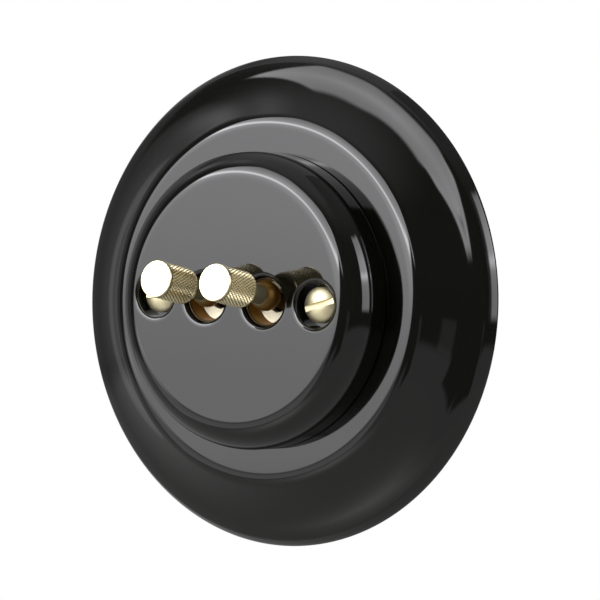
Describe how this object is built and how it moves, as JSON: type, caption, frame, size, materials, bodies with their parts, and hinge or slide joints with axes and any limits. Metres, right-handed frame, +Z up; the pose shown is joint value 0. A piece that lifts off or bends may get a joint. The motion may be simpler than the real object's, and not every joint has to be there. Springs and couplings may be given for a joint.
{
  "type": "porcelain toggle switch",
  "caption": "Round wall switch with a raised black porcelain cover on a stepped porcelain frame, worked by knurled brass toggles in brass cups and held by slotted brass screws.",
  "frame": {"origin": "on the wall plane, at the centre of the mounting plate's back, midway between the two wall box screws", "axes": "+X to the right as seen from the room, +Y into the wall, +Z up"},
  "size_m": [0.1, 0.0501, 0.1],
  "materials": {
    "porcelain": "gloss",
    "brass": "polished",
    "dark_brass": "darkened",
    "steel": "zinc plated",
    "nylon": "matte",
    "moulding": "matte"
  },
  "bodies": {
    "switch": {"frame_ring": "porcelain", "cover": "porcelain", "cover_screws": "brass", "ferrule_left": "brass", "ferrule_right": "brass", "ferrule_nuts": "brass", "pivot_pin_left": "steel", "pivot_pin_right": "steel", "common_contact_left": "brass", "common_contact_right": "brass", "upper_contact_left": "brass", "upper_contact_right": "brass", "lower_contact_left": "brass", "lower_contact_right": "brass", "terminal_screws": "steel", "switch_base": "moulding", "base_back": "moulding", "back_screws": "steel", "mounting_plate": "steel", "base_screws": "steel", "screw_posts": "brass"},
    "toggle_left": {"lever_left": "dark_brass", "knob_left": "brass", "spring_left": "steel"},
    "toggle_right": {"lever_right": "dark_brass", "knob_right": "brass", "spring_right": "steel"},
    "plunger_left": {"plunger_left": "nylon"},
    "plunger_right": {"plunger_right": "nylon"},
    "rocker_left": {"contact_rocker_left": "brass"},
    "rocker_right": {"contact_rocker_right": "brass"}
  },
  "joints": [
    {"name": "toggle_left", "type": "hinge", "parent": "switch", "child": "toggle_left", "pos_m": [-0.0071, -0.0097, 0], "axis": [1, 0, 0], "range_deg": [0, 16]},
    {"name": "toggle_right", "type": "hinge", "parent": "switch", "child": "toggle_right", "pos_m": [0.0071, -0.0097, 0], "axis": [1, 0, 0], "range_deg": [0, 16]},
    {"name": "plunger_left", "type": "slide", "parent": "toggle_left", "child": "plunger_left", "axis": [0, -0.9903, 0.1392], "range_m": [0, 0.0006], "stiffness_N_per_m": 800, "springref_m": -0.002, "deforming": ["spring_left"]},
    {"name": "plunger_right", "type": "slide", "parent": "toggle_right", "child": "plunger_right", "axis": [0, -0.9903, 0.1392], "range_m": [0, 0.0006], "stiffness_N_per_m": 800, "springref_m": -0.002, "deforming": ["spring_right"]},
    {"name": "rocker_left", "type": "hinge", "parent": "switch", "child": "rocker_left", "pos_m": [-0.0071, 0.00185, 0], "axis": [1, 0, 0], "range_deg": [-14, 0]},
    {"name": "rocker_right", "type": "hinge", "parent": "switch", "child": "rocker_right", "pos_m": [0.0071, 0.00185, 0], "axis": [1, 0, 0], "range_deg": [-14, 0]}
  ],
  "couplings": [
    {"joint": "rocker_left", "follows": "toggle_left", "ratio": -0.875},
    {"joint": "rocker_right", "follows": "toggle_right", "ratio": -0.875}
  ]
}
